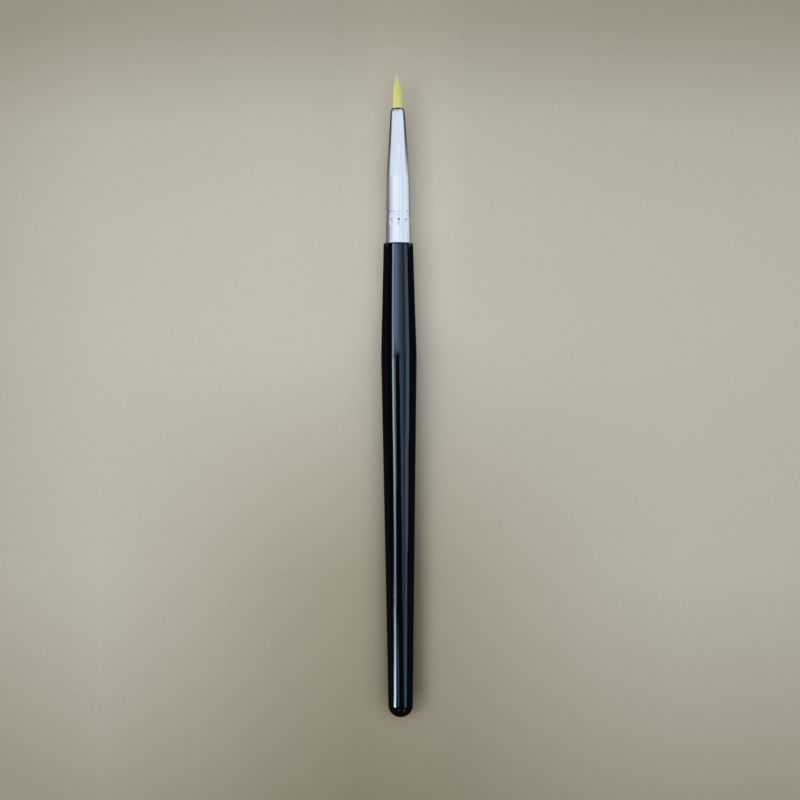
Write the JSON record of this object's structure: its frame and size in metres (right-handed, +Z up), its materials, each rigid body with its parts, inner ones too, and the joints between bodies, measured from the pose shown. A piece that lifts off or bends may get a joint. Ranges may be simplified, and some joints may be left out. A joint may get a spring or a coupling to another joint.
{
  "type": "eyeliner brush",
  "caption": "Fine eyeliner brush with a glossy turned handle, a crimped conical aluminium ferrule and a pointed tuft of yellow synthetic filaments.",
  "frame": {"origin": "centre of the footprint on the surface that the brush lies on, halfway along its length", "axes": "+Y along the brush towards the tip of the tuft, +Z up from the surface, +X to the right as seen from above with the tip ahead"},
  "size_m": [0.0088, 0.16, 0.0088],
  "materials": {
    "black_lacquer": "high gloss black lacquer over turned wood",
    "ferrule_metal": "drawn and polished",
    "glue": "cured clear amber glue",
    "filament": "fine yellow synthetic filaments"
  },
  "bodies": {
    "root": {"handle": "black_lacquer", "ferrule": "ferrule_metal", "glue_plug": "glue", "tuft": "filament"}
  },
  "joints": []
}
